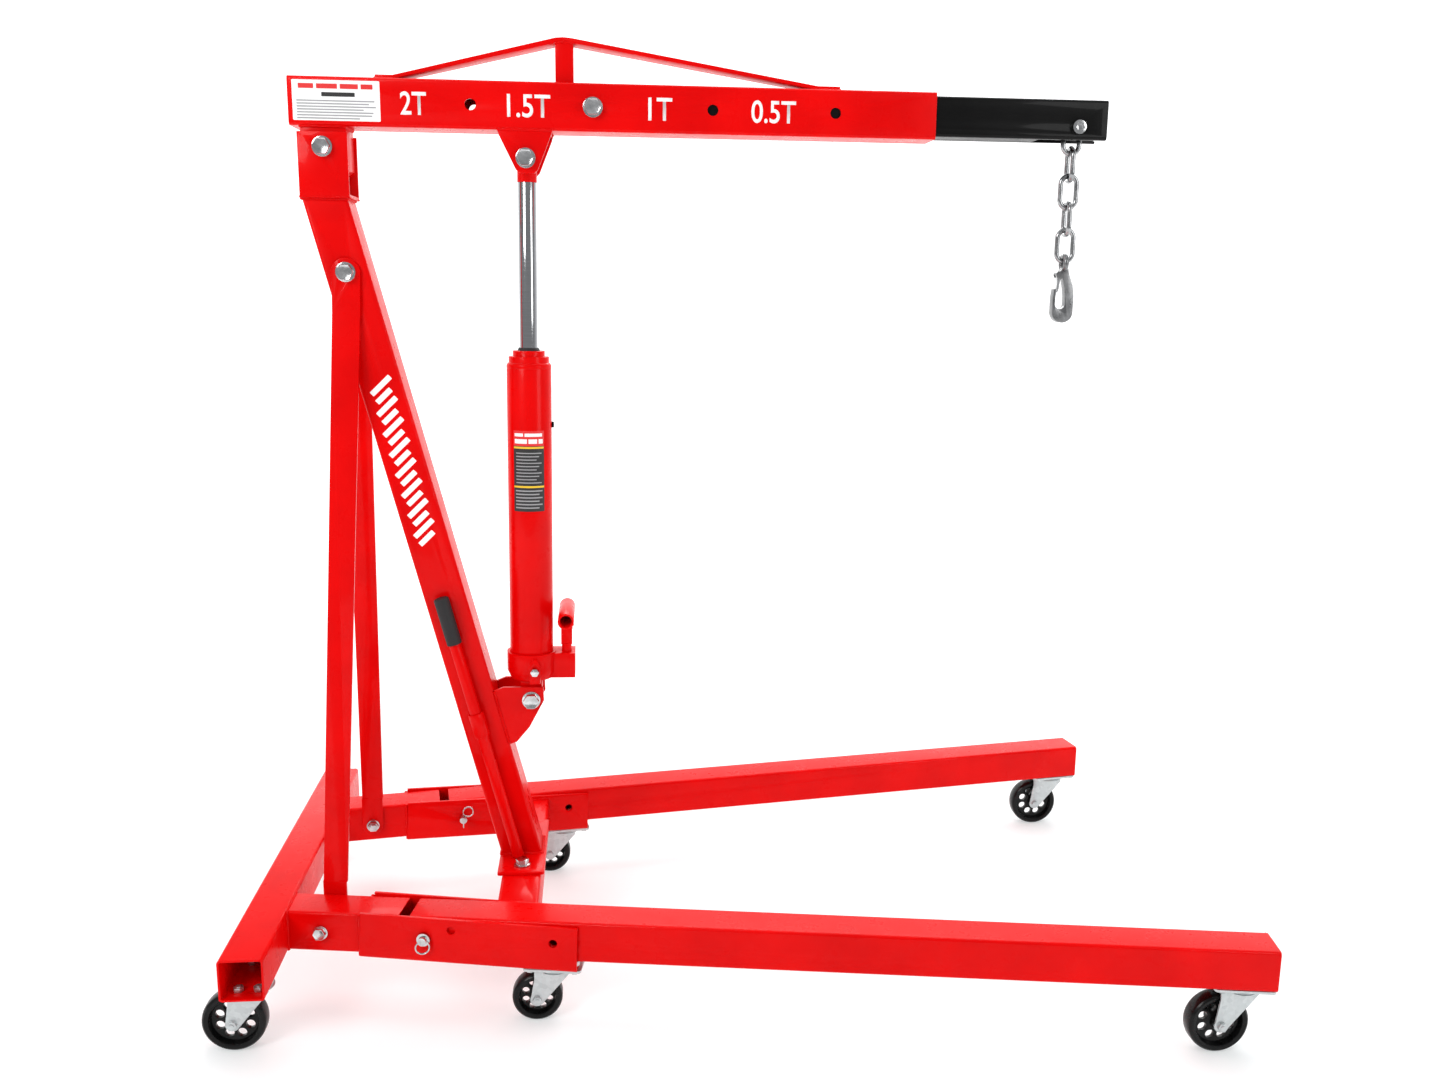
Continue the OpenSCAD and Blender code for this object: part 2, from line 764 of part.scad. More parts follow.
// Hook that opens to the rear, hung by an eye that stands across the crane
module hook() {
    half = 7.5;
    bowl = [-4.8, 1076];
    bowl_r = 8.3;
    foot = [0, 1063];
    foot_r = 17;
    neck_z = eye_z - eye_r + 2;
    color(zinc) in_frame() translate([chain_at[0], 0, 0]) {
        translate([0, 0, eye_z]) rotate([0, 90, 0])
            rotate_extrude() translate([eye_r, 0]) circle(eye_wire_r, $fn = 32);
        difference() {
            slab(-half, half) difference() {
                union() {
                    translate(foot) circle(foot_r);
                    polygon([
                        [-4, neck_z], [6, neck_z], [8, 1122], [14.5, 1105], [17, 1090], foot + [foot_r, 0],
                        foot - [foot_r, 0], [-17, 1086], [-15.4, 1100], [-12.2, 1118]
                    ]);
                    translate(latch_hinge) circle(5.5);
                }
                translate(bowl) circle(bowl_r);
                polygon([
                    [-13, bowl[1] + 2], [3.4, bowl[1] + 2], [3.2, 1089], [1.2, 1103], [-2, 1117],
                    [-9, 1113], [-11.4, 1098], [-12.8, 1088]
                ]);
                polygon([[-30, 1100], [-10, 1099], [-5, 1112], [-8, 1116], [-14, 1118], [-30, 1118]]);
            }
            slab(-latch_half - 0.3, latch_half + 0.3) {
                translate(latch_hinge) circle(5);
                translate([latch_hinge[0] - 12, latch_hinge[1] - 9]) square([17, 9]);
            }
        }
        translate([latch_hinge[0], 0, latch_hinge[1]]) pin_y(1.5, -half, half);
    }
}

// Sprung strip that closes the hook's mouth from inside
module hook_latch() {
    color(zinc) in_frame() translate([chain_at[0], 0, 0]) difference() {
        union() {
            translate([latch_hinge[0], 0, latch_hinge[1]]) pin_y(4.2, -latch_half, latch_half);
            slab(-latch_half, latch_half) polygon([
                [-11.4, 1121.5], [-4.6, 1121.5], [-6.4, 1106], [-8.2, 1094],
                [-10.6, 1093.6], [-11.1, 1100.5], [-10.6, 1110]
            ]);
        }
        translate([latch_hinge[0], 0, latch_hinge[1]]) pin_y(1.5 + run_gap, -10, 10);
    }
}

// ---- Ram ----

module ram_lower_bolt() {
    color(zinc) in_frame() translate([ram_low[0], 0, ram_low[1]])
        bolt_y(ram_bolt_r, lower_plate_out, 0.2);
}

// Casting that holds the cylinder, the pump and the lower eye
module ram_base() {
    block_low = 33;
    block_top = base_top - 2;
    valve_half = 8.5;
    color(red) in_frame() along_ram() difference() {
        union() {
            translate([0, 0, base_low + 13]) cylinder(r = 40, h = base_top - base_low - 13);
            translate([0, 0, base_low]) cylinder(r1 = 34, r2 = 40, h = 13);
            translate([25, -17, block_low]) cube([46, 45, block_top - block_low]);
            translate([-17, -eye_half + 1, 0]) cube([34, 2 * eye_half - 2, base_low + 2]);
            pin_y(17, -eye_half + 1, eye_half - 1);
            translate([7, 0, 0]) slab(-46, 0) polygon([
                [-valve_half, base_low - 1], [valve_half, base_low - 1], [valve_half, 61],
                [3, 71], [-3, 71], [-valve_half, 61]
            ]);
            translate([pump_x - 5, fulcrum[0] - 5, block_top - 2])
                cube([10, 10, fulcrum[1] - block_top + 2]);
            translate([pump_x - 5, fulcrum[0], fulcrum[1]]) rotate([0, 90, 0]) cylinder(r = 5, h = 10);
        }
        translate([0, 0, base_top - 17]) cylinder(r = ram_d / 2, h = 30);
        pin_y(ram_bolt_r + run_gap, -50, 50);
        translate([7, 0, valve_z]) pin_y(valve_r + run_gap, -60, -30);
        translate([pump_x, 0, block_low + 10]) cylinder(r = plunger_r + run_gap, h = 60);
        translate([pump_x - 12, fulcrum[0], fulcrum[1]]) rotate([0, 90, 0])
            cylinder(r = lever_pin_r + run_gap, h = 24);
    }
}

module ram_cylinder() {
    color(red) in_frame() along_ram() difference() {
        translate([0, 0, base_top - 17]) cylinder(r = ram_d / 2, h = cylinder_top - base_top + 17);
        translate([0, 0, base_top]) cylinder(r = bore_r, h = cylinder_top);
        translate([ram_d / 2 - 4, 0, plug_z]) rotate([0, 90, 0]) cylinder(r = plug_r + run_gap, h = 10);
    }
}

// Head of the cylinder: a rounded shoulder and two stepped rings round the rod
module ram_gland() {
    shoulder_h = 9;
    ring_h = 9;
    color(red) in_frame() along_ram() rotate_extrude() difference() {
        union() {
            translate([0, gland_low]) square([bore_r, cylinder_top - gland_low + 1]);
            translate([0, cylinder_top]) square([ram_d / 2, shoulder_h - 6]);
            translate([0, cylinder_top]) square([ram_d / 2 - 6, shoulder_h]);
            intersection() {
                translate([ram_d / 2 - 6, cylinder_top + shoulder_h - 6]) circle(6);
                translate([0, cylinder_top]) square([ram_d, shoulder_h]);
            }
            translate([0, cylinder_top]) square([31.5, shoulder_h + ring_h]);
            translate([0, cylinder_top]) square([25, gland_top - cylinder_top]);
        }
        translate([-cut, gland_low - cut]) square([rod_d / 2 + run_gap + cut, 60]);
    }
}

module filler_plug() {
    color(black) in_frame() along_ram() translate([0, 0, plug_z]) rotate([0, 90, 0]) {
        translate([0, 0, ram_d / 2 - 3]) cylinder(r = plug_r, h = 4);
        translate([0, 0, ram_d / 2]) cylinder(r = 4.8, h = 3.5);
    }
}

module ram_piston() {
    color(zinc) in_frame() along_ram() translate([0, 0, piston_low]) difference() {
        cylinder(r = bore_r - 0.1, h = piston_h);
        translate([0, 0, piston_h / 2 - 2]) difference() {
            cylinder(r = bore_r + 1, h = 4);
            translate([0, 0, -cut]) cylinder(r = bore_r - 3, h = 6);
        }
    }
}

module ram_rod() {
    rod_low = piston_low + piston_h + 0.2;
    color(chrome) in_frame() along_ram() translate([0, 0, rod_low])
        cylinder(r = rod_d / 2, h = ram_len - 33 - rod_low);
}

// Eye on the rod's end, with the middle of the upper bolt in it
module ram_rod_eye() {
    color(red) in_frame() along_ram() {
        translate([0, 0, ram_len - 33]) cylinder(r = 15, h = 20);
        translate([0, 0, ram_len]) pin_y(17, -eye_half, eye_half);
    }
}

// Handle socket on its fulcrum pin; the socket is open towards the crane's right
module pump_lever() {
    cheek_in = 5.4;
    cheek = 4;
    cheek_out = cheek_in + cheek;
    color(red) in_frame() along_ram() {
        difference() {
            union() {
                translate([pump_x, 0, lever_z]) pin_y(socket_r, -socket_half, socket_half);
                for (x = [-cheek_out, cheek_in]) translate([pump_x + x, fulcrum[0], fulcrum[1]]) {
                    rotate([0, 90, 0]) cylinder(r = 8, h = cheek);
                    translate([0, -8, 0]) cube([cheek, 16, lever_z - fulcrum[1]]);
                }
            }
            translate([pump_x, 0, lever_z]) pin_y(socket_bore_r, -socket_half - cut, socket_half - 4);
        }
        translate([pump_x - cheek_out - 2, fulcrum[0], fulcrum[1]]) rotate([0, 90, 0])
            cylinder(r = lever_pin_r, h = 2 * cheek_out + 4);
    }
}

// Round plunger with a flat bar on top that bears on the socket
module pump_plunger() {
    plunger_low = 58;
    shoulder_z = 86;
    bar_top = lever_z - socket_r - 1;
    color(red) in_frame() along_ram() translate([pump_x, 0, 0]) {
        translate([0, 0, plunger_low]) cylinder(r = plunger_r, h = shoulder_z - plunger_low + 1);
        translate([-9, 0, 0]) rotate([90, 0, 90]) linear_extrude(18) polygon([
            [-5, shoulder_z], [5, shoulder_z], [5, bar_top - 6], [2.5, bar_top],
            [-2.5, bar_top], [-5, bar_top - 6]
        ]);
    }
}

module release_valve() {
    color(zinc) in_frame() along_ram() translate([7, 0, valve_z]) difference() {
        union() {
            pin_y(valve_r, -55, -31);
            hex_y(7, -54, -47);
        }
        translate([-10, -51, 0]) rotate([0, 90, 0]) cylinder(r = 1.2, h = 20, $fn = 24);
    }
}

module handle_rod() {
    color(red) in_frame() leaning() translate([handle_at[0], handle_at[1], handle_low])
        cylinder(r = handle_r, h = handle_top - handle_low - 8);
}

module handle_grip() {
    color(black) in_frame() leaning() translate([handle_at[0], handle_at[1], handle_top - grip_len]) {
        difference() {
            union() {
                cylinder(r = grip_r, h = grip_len - 2);
                translate([0, 0, grip_len - 2]) cylinder(r1 = grip_r, r2 = grip_r - 2, h = 2);
            }
            translate([0, 0, -cut]) cylinder(r = handle_r, h = grip_len - 8 + cut);
        }
    }
}

rear_crossbeam();
right_stub();
left_stub();
front_crossmember();
right_channel();
left_channel();
mast();
mast_head();
mast_foot_plate();
ram_lower_bracket();
right_brace();
left_brace();
frame_bolts();
caster_plates();
leg_pins();
handle_clip();
right_leg();
left_leg();
right_front_plate();
left_front_plate();
rear_right_fork();
rear_left_fork();
mid_right_fork();
mid_left_fork();
front_right_fork();
front_left_fork();
rear_right_wheel();
rear_left_wheel();
mid_right_wheel();
mid_left_wheel();
front_right_wheel();
front_left_wheel();
boom_pivot_bolt();
boom_tube();
boom_lug();
boom_ram_bracket();
boom_truss();
boom_bolts();
boom_extension();
chain_bolt();
chain_link_1();
chain_link_2();
chain_link_3();
chain_link_4();
chain_link_5();
hook();
hook_latch();
ram_lower_bolt();
ram_base();
ram_cylinder();
ram_gland();
filler_plug();
ram_piston();
ram_rod();
ram_rod_eye();
pump_lever();
pump_plunger();
release_valve();
handle_rod();
handle_grip();
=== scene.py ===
# %% [markdown]
# # An engine hoist crane
# A folding workshop crane is mostly square steel tube, bent plate and a long hydraulic ram.
# Its exact shapes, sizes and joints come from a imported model, which is loaded here as a
# fixed frame. What is left for Blender is everything that makes steel look like steel:
# rounded edges, weld beads, paint, zinc, chrome and the printed decals.

# %% Load the frame
import bpy
import json
import math
from mathutils import Matrix, Vector


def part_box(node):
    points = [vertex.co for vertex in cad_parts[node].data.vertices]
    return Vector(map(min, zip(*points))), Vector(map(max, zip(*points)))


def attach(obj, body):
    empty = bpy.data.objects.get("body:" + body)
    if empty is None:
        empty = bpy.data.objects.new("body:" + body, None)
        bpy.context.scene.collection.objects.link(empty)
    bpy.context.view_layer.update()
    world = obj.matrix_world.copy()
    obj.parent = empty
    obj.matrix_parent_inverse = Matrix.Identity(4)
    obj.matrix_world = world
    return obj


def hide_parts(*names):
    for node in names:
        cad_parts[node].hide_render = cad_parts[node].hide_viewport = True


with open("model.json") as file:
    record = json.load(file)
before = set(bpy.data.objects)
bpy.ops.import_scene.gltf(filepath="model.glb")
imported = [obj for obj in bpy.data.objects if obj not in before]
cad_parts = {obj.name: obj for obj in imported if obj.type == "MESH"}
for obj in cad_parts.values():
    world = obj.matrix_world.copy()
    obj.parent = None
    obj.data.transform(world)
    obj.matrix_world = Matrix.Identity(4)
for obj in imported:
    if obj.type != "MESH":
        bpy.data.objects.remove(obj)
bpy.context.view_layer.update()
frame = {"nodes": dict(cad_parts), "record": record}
nodes = frame["nodes"]
body_of = {n: b for b, members in frame["record"]["behaviour"]["bodies"].items() for n in members}
slot_of = {s["node"]: s["material_slot"] for s in frame["record"]["subparts"]}

# %% [markdown]
# All measures below are written in millimetres, as on a workshop drawing, with X counted
# from the rear face of the rear crossbeam. One helper turns them into the frame's metres.

# %% Millimetres to the frame
MM = 0.001
REAR_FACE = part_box("rear_crossbeam")[0].x


def at(x, y, z):
    return Vector((REAR_FACE + x * MM, y * MM, z * MM))


print("rear face of the crossbeam at", round(REAR_FACE, 4))

# %% [markdown]
# ## The camera
# The crane is seen from its right side, a little above the boom's hook end, with a fairly
# wide lens. The camera is placed first so that everything later is judged through it.
# Its three axes are built from a heading, a pitch and a very small roll.

# %% Place the camera
HEADING = math.radians(5.53)
PITCH = math.radians(11.25)
ROLL = math.radians(0.67)
VIEWPOINT = (REAR_FACE + 0.5376, -2.0632, 1.0968)
LENS = 32.03

level = Vector((math.sin(HEADING), math.cos(HEADING), 0))
forward = level * math.cos(PITCH) - Vector((0, 0, 1)) * math.sin(PITCH)
side = level.cross(Vector((0, 0, 1))).normalized()
above = side.cross(forward).normalized()
right = side * math.cos(ROLL) + above * math.sin(ROLL)
above = right.cross(forward).normalized()

bpy.ops.object.camera_add()
camera = bpy.context.object
camera.name = "view_camera"
camera.matrix_world = Matrix((
    (right.x, above.x, -forward.x, VIEWPOINT[0]),
    (right.y, above.y, -forward.y, VIEWPOINT[1]),
    (right.z, above.z, -forward.z, VIEWPOINT[2]),
    (0, 0, 0, 1),
))
camera.data.sensor_width = 36
camera.data.lens = LENS
camera.data.clip_start = 0.05
camera.data.clip_end = 60
bpy.context.scene.camera = camera
print("camera at", tuple(round(v, 3) for v in camera.location))

# %% [markdown]
# ## Studio
# A machine shown on white is lit by large soft sources. One broad key stands at the
# camera's left and above, a weaker fill at the right, and a sheet of light hangs overhead. A
# strip behind draws a bright line along the upper faces of the tubes. The floor is a wide
# pale sheet that also becomes the backdrop, so its far end is rolled up in a soft curve.

# %% Floor sheet
FLOOR_WIDE, FLOOR_DEEP, FLOOR_AHEAD = 16, 7, 0.5
CURVE_STEPS, CURVE_STRIDE, WALL_HIGH = 8, 0.35, 5
bpy.ops.mesh.primitive_plane_add(size=1, location=(0, 0, 0))
floor = bpy.context.object
floor.name = "studio_floor"
floor.scale = (FLOOR_WIDE, FLOOR_DEEP, 1)
floor.location = (0, FLOOR_AHEAD, 0)
bpy.ops.object.transform_apply(location=True, rotation=False, scale=True)
bpy.ops.object.mode_set(mode="EDIT")
bpy.ops.mesh.select_mode(type="EDGE")
bpy.ops.mesh.select_all(action="DESELECT")
bpy.ops.object.mode_set(mode="OBJECT")
far_end = max(v.co.y for v in floor.data.vertices)
for edge in floor.data.edges:
    edge.select = all(floor.data.vertices[v].co.y > far_end - MM for v in edge.vertices)
bpy.ops.object.mode_set(mode="EDIT")
for turn in range(CURVE_STEPS):
    angle = math.radians(90 * (turn + 1) / CURVE_STEPS)
    bpy.ops.mesh.extrude_region_move(TRANSFORM_OT_translate={
        "value": (0, CURVE_STRIDE * math.cos(angle), CURVE_STRIDE * math.sin(angle))})
bpy.ops.mesh.extrude_region_move(TRANSFORM_OT_translate={"value": (0, 0, WALL_HIGH)})
bpy.ops.object.mode_set(mode="OBJECT")
bpy.ops.object.shade_smooth()
print("floor faces", len(floor.data.polygons))

# %% Lights and world


def soft_box(name, place, aim, width, height, watts):
    bpy.ops.object.light_add(type="AREA", location=place)
    lamp = bpy.context.object
    lamp.name = name
    lamp.data.shape = "RECTANGLE"
    lamp.data.size = width
    lamp.data.size_y = height
    lamp.data.energy = watts
    lamp.rotation_euler = (Vector(aim) - Vector(place)).to_track_quat("-Z", "Y").to_euler()


soft_box("key_left", (-2.6, -3.0, 2.9), (0, 0, 0.7), 1.6, 1.6, 78)
soft_box("fill_right", (3.0, -2.4, 2.0), (0.1, 0, 0.6), 1.4, 1.8, 35)
soft_box("top_sheet", (0.0, 0.4, 3.4), (0, 0, 0.3), 3.2, 2.2, 48)
soft_box("back_strip", (0.6, 2.6, 2.4), (0, 0, 0.8), 3.0, 0.5, 30)
bpy.context.scene.view_settings.view_transform = "Standard"

# The room: white behind the crane and a darker grey behind the viewer, with a soft change
world = bpy.data.worlds.new("studio_room")
bpy.context.scene.world = world
world.use_nodes = True
room = world.node_tree
background = room.nodes["Background"]
background.inputs["Color"].default_value = (0.97, 0.98, 1.0, 1)
direction = room.nodes.new("ShaderNodeTexCoord")
split = room.nodes.new("ShaderNodeSeparateXYZ")
fade = room.nodes.new("ShaderNodeMapRange")
room.links.new(direction.outputs["Generated"], split.inputs["Vector"])
room.links.new(split.outputs["Y"], fade.inputs["Value"])
for socket, value in (
        ("From Min", -0.2), ("From Max", 0.35), ("To Min", 0.42), ("To Max", 1.0)):
    fade.inputs[socket].default_value = value
room.links.new(fade.outputs["Result"], background.inputs["Strength"])

# %% [markdown]
# ## A small language for finishes
# A shader is arithmetic on sockets. The class below wraps a socket so that `0.3 + 0.1 *
# grain` adds the Math nodes by itself, and one method adds any other node. Finishes then
# read like recipes.

# %% Socket arithmetic


class Sock:
    def __init__(self, finish, out):
        self.finish = finish
        self.out = out

    def _math(self, kind, a, b):
        return self.finish.add("ShaderNodeMath", {"operation": kind}, {0: a, 1: b})

    def __add__(self, other): return self._math("ADD", self, other)
    def __radd__(self, other): return self._math("ADD", other, self)
    def __mul__(self, other): return self._math("MULTIPLY", self, other)
    def __rmul__(self, other): return self._math("MULTIPLY", other, self)


class Finish:
    def __init__(self, name, **constants):
        self.material = bpy.data.materials.new(name)
        self.material.use_nodes = True
        self.tree = self.material.node_tree
        self.shader = self.tree.nodes["Principled BSDF"]
        for key, value in constants.items():
            self.shader.inputs[key.replace("_", " ")].default_value = value
        self.place = self.add("ShaderNodeTexCoord", {}, {}, "Object")

    def add(self, kind, settings, values, output=0):
        made = self.tree.nodes.new(kind)
        for key, value in settings.items():
            if key == "stops":
                ramp = made.color_ramp
                while len(ramp.elements) < len(value):
                    ramp.elements.new(0.5)
                for stop, (spot, colour) in zip(ramp.elements, value):
                    stop.position = spot
                    stop.color = colour
            else:
                setattr(made, key, value)
        for key, value in values.items():
            if isinstance(value, Sock):
                self.tree.links.new(value.out, made.inputs[key])
            else:
                made.inputs[key].default_value = value
        return Sock(self, made.outputs[output])

    def noise(self, scale, detail=2.0, rough=0.5, place=None):
        return self.add("ShaderNodeTexNoise", {}, {
            "Vector": place or self.place, "Scale": scale, "Detail": detail,
            "Roughness": rough})

    def stretched(self, x, y, z):
        return self.add("ShaderNodeMapping", {}, {"Vector": self.place, "Scale": (x, y, z)})

    def band(self, value, low, high, out_low=0.0, out_high=1.0):
        return self.add("ShaderNodeMapRange", {}, {
            "Value": value, "From Min": low, "From Max": high,
            "To Min": out_low, "To Max": out_high})

    def blend(self, mask, first, second):
        made = self.add("ShaderNodeMix", {"data_type": "RGBA"}, {0: mask}, 2)
        made.out.node.inputs[6].default_value = (*first, 1)
        made.out.node.inputs[7].default_value = (*second, 1)
        return made

    def feed(self, **links):
        for key, value in links.items():
            self.tree.links.new(value.out, self.shader.inputs[key.replace("_", " ")])

    def bump(self, height, strength, distance):
        made = self.add("ShaderNodeBump", {}, {
            "Height": height, "Strength": strength, "Distance": distance})
        self.tree.links.new(made.out, self.shader.inputs["Normal"])


print("socket arithmetic ready")

# %% [markdown]
# ## Red powder coat
# The frame is sprayed with polyester powder and baked. It comes out very smooth, with a
# faint orange peel a couple of millimetres across, a thin gloss on top and slight shade
# changes where the coat is thicker. Two noises give the peel and the shade, and a third
# raises the roughness in patches, as a very thin dusting does.

# %% Powder coats


def powder_coat(name, dark, light, rough):
    coat = Finish(name, Coat_Roughness=0.06, Specular_IOR_Level=0.05)
    shade = coat.noise(9.0, 3.0)
    dust = coat.noise(38.0, 4.0, 0.6)
    peel = coat.noise(520.0, 2.0)
    coat.feed(
        Base_Color=coat.blend(coat.band(shade, 0.3, 0.7), dark, light),
        Roughness=rough + 0.1 * coat.band(dust, 0.35, 0.75),
        Coat_Weight=coat.band(dust, 0.3, 0.8, 0.11, 0.07),
    )
    coat.bump(peel, 0.12, 0.0006)
    return coat.material


red_coat = powder_coat(
    "red_powder_coat", (0.66, 0.0008, 0.001), (0.80, 0.0015, 0.0015), 0.26)
black_coat = powder_coat(
    "black_powder_coat", (0.004, 0.004, 0.004), (0.007, 0.007, 0.007), 0.36)
print("powder coats", red_coat.name, black_coat.name)

# %% [markdown]
# ## Zinc, chrome and iron
# Bolts are bright zinc: nearly a mirror, but clouded in places. The chain is a shade darker,
# and the forged hook darker and rougher still. The pressed caster forks are dull zinc with a
# faint crystal pattern. The ram's rod is hard chrome with fine grinding rings round it. The
# wheels are cast iron under thick gloss black.

# %% Plated finishes


def plated(name, dark, light, rough_low, rough_high, grain, bump_depth):
    plate = Finish(name, Metallic=1.0)
    cloud = plate.noise(60.0, 4.0, 0.6)
    fine = plate.noise(grain, 3.0, 0.6)
    plate.feed(
        Base_Color=plate.blend(plate.band(cloud, 0.3, 0.7), dark, light),
        Roughness=plate.band(0.6 * cloud + 0.4 * fine, 0.35, 0.65, rough_low, rough_high),
    )
    plate.bump(fine, 0.15, bump_depth)
    return plate.material


bright_zinc = plated(
    "bright_zinc", (0.40, 0.405, 0.41), (0.74, 0.745, 0.75), 0.10, 0.24, 900.0, 0.0003)
chain_zinc = plated(
    "chain_zinc", (0.26, 0.265, 0.27), (0.46, 0.465, 0.47), 0.12, 0.26, 800.0, 0.0004)
hook_zinc = plated(
    "forged_zinc", (0.16, 0.162, 0.165), (0.28, 0.283, 0.286), 0.24, 0.40, 700.0, 0.0008)

fork_zinc = Finish("pressed_zinc", Metallic=0.85)
cells = fork_zinc.add(
    "ShaderNodeTexVoronoi", {}, {"Vector": fork_zinc.place, "Scale": 160.0}, "Color")
crystal = fork_zinc.add("ShaderNodeSeparateColor", {}, {"Color": cells}, "Red")
smear = fork_zinc.noise(45.0, 4.0, 0.65)
fork_zinc.feed(
    Base_Color=fork_zinc.blend(
        0.5 * crystal + 0.5 * smear, (0.44, 0.47, 0.475), (0.66, 0.69, 0.695)),
    Roughness=0.3 + 0.14 * crystal + 0.08 * smear,
)
fork_zinc.bump(smear, 0.08, 0.0005)

hard_chrome = Finish("hard_chrome", Metallic=1.0)
rings = hard_chrome.noise(420.0, 2.0, 0.5, hard_chrome.stretched(0.04, 0.04, 6.0))
hard_chrome.feed(
    Base_Color=hard_chrome.blend(rings, (0.26, 0.262, 0.27), (0.52, 0.525, 0.54)),
    Roughness=0.05 + 0.1 * rings,
)
hard_chrome.bump(rings, 0.04, 0.0002)
print("plated finishes", bright_zinc.name, hook_zinc.name, fork_zinc.material.name)

# %% Wheel enamel, rubber and print
wheel_black = Finish("wheel_enamel", Coat_Roughness=0.12, Specular_IOR_Level=0.12)
casting = wheel_black.noise(240.0, 4.0, 0.6)
scuff = wheel_black.noise(30.0, 5.0, 0.7)
wheel_black.feed(
    Base_Color=wheel_black.blend(
        wheel_black.band(scuff, 0.45, 0.8), (0.003, 0.003, 0.003), (0.009, 0.009, 0.009)),
    Roughness=0.24 + 0.2 * wheel_black.band(scuff, 0.4, 0.75),
    Coat_Weight=wheel_black.band(scuff, 0.3, 0.8, 0.22, 0.08),
)
wheel_black.bump(casting, 0.25, 0.0008)

grip_black = Finish("grip_rubber", Specular_IOR_Level=0.35)
pebble = grip_black.noise(900.0, 3.0, 0.6)
grip_black.feed(
    Base_Color=grip_black.blend(pebble, (0.010, 0.010, 0.011), (0.026, 0.026, 0.027)),
    Roughness=0.5 + 0.2 * pebble,
)
grip_black.bump(pebble, 0.3, 0.0006)


def print_ink(name, dark, light):
    ink = Finish(name, Specular_IOR_Level=0.45)
    fleck = ink.noise(700.0, 3.0, 0.6)
    ink.feed(Base_Color=ink.blend(fleck, dark, light), Roughness=0.32 + 0.12 * fleck)
    ink.bump(fleck, 0.05, 0.0002)
    return ink.material


white_ink = print_ink("white_vinyl", (0.92, 0.92, 0.91), (0.97, 0.97, 0.96))
red_ink = print_ink("red_ink", (0.70, 0.02, 0.02), (0.80, 0.03, 0.03))
black_ink = print_ink("black_ink", (0.012, 0.012, 0.012), (0.03, 0.03, 0.03))
grey_ink = print_ink("grey_ink", (0.30, 0.30, 0.31), (0.40, 0.40, 0.41))
yellow_ink = print_ink("yellow_ink", (0.86, 0.52, 0.02), (0.93, 0.62, 0.03))

# Matt paper with a painted glow: its emission rises from grey within a metre of the crane to near
# white beyond three metres, lifting the far floor to pure white
paper_with_painted_glow = Finish("paper_with_painted_glow", Specular_IOR_Level=0.2, Emission_Strength=1.0)
fibre = paper_with_painted_glow.noise(60.0, 3.0, 0.6)
reach = paper_with_painted_glow.add(
    "ShaderNodeVectorMath", {"operation": "LENGTH"}, {0: paper_with_painted_glow.place}, "Value")
paper_with_painted_glow.feed(
    Base_Color=paper_with_painted_glow.blend(fibre, (0.60, 0.60, 0.60), (0.62, 0.62, 0.62)),
    Roughness=0.6 + 0.1 * fibre,
    # painted glow: grey emission near the crane, near white emission beyond three metres
    Emission_Color=paper_with_painted_glow.blend(
        paper_with_painted_glow.band(reach, 1.0, 3.0), (0.40, 0.415, 0.415), (0.95, 0.95, 0.95)),
)
floor.data.materials.append(paper_with_painted_glow.material)
print("inks", white_ink.name, red_ink.name, black_ink.name, yellow_ink.name)

# %% [markdown]
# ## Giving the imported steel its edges
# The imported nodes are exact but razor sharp, and no real tube or plate is. Each node is
# copied, its loose triangles are merged into whole faces, and a Bevel modifier rolls every
# edge by half a millimetre or so, so that it catches a thin line of light. The copy then
# stands for the node; the node itself is left alone.

# %% Refine a node
DISHED = ("frame_bolts", "boom_pivot_bolt", "boom_bolts", "chain_bolt", "ram_lower_bolt")
HEAD_AREA = 60 * MM * MM
DISH_RIM, DISH_DEPTH = 1.6 * MM, 0.75 * MM
WELDED_GAP = 0.000004


def only(piece):
    if bpy.context.mode != "OBJECT":
        bpy.ops.object.mode_set(mode="OBJECT")
    bpy.ops.object.select_all(action="DESELECT")
    piece.select_set(True)
    bpy.context.view_layer.objects.active = piece


def apply_all(piece):
    only(piece)
    for modifier in [m.name for m in piece.modifiers]:
        bpy.ops.object.modifier_apply(modifier=modifier)


def dish_heads(piece):
    """Press a shallow dish into the flat outer face of every hexagon head."""
    bpy.ops.object.mode_set(mode="EDIT")
    bpy.ops.mesh.select_mode(type="FACE")
    bpy.ops.mesh.select_all(action="DESELECT")
    bpy.ops.object.mode_set(mode="OBJECT")
    for face in piece.data.polygons:
        face.select = (len(face.vertices) == 6 and abs(face.normal.z) < 0.5
                       and face.area > HEAD_AREA)
    bpy.ops.object.mode_set(mode="EDIT")
    bpy.ops.mesh.inset(thickness=DISH_RIM, depth=-DISH_DEPTH, use_individual=True)
    bpy.ops.object.mode_set(mode="OBJECT")


def refine(node, finish, edge, sharp=28):
    piece = bpy.data.objects.new(node + "_finished", nodes[node].data.copy())
    bpy.context.scene.collection.objects.link(piece)
    piece.data.materials.clear()
    piece.data.materials.append(finish)
    only(piece)
    if piece.data.has_custom_normals:
        bpy.ops.mesh.customdata_custom_splitnormals_clear()
    bpy.ops.object.mode_set(mode="EDIT")
    bpy.ops.mesh.select_all(action="SELECT")
    bpy.ops.mesh.remove_doubles(threshold=WELDED_GAP)
    bpy.ops.mesh.dissolve_limited(angle_limit=math.radians(0.5))
    bpy.ops.object.mode_set(mode="OBJECT")
    if node in DISHED:
        dish_heads(piece)
    if edge:
        roll = piece.modifiers.new("roll", "BEVEL")
        roll.width = edge * MM
        roll.segments = 2
        roll.limit_method = "ANGLE"
        roll.angle_limit = math.radians(sharp)
        apply_all(piece)
    only(piece)
    bpy.ops.object.shade_smooth_by_angle(angle=math.radians(sharp))
    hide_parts(node)
    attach(piece, body_of[node])
    return piece


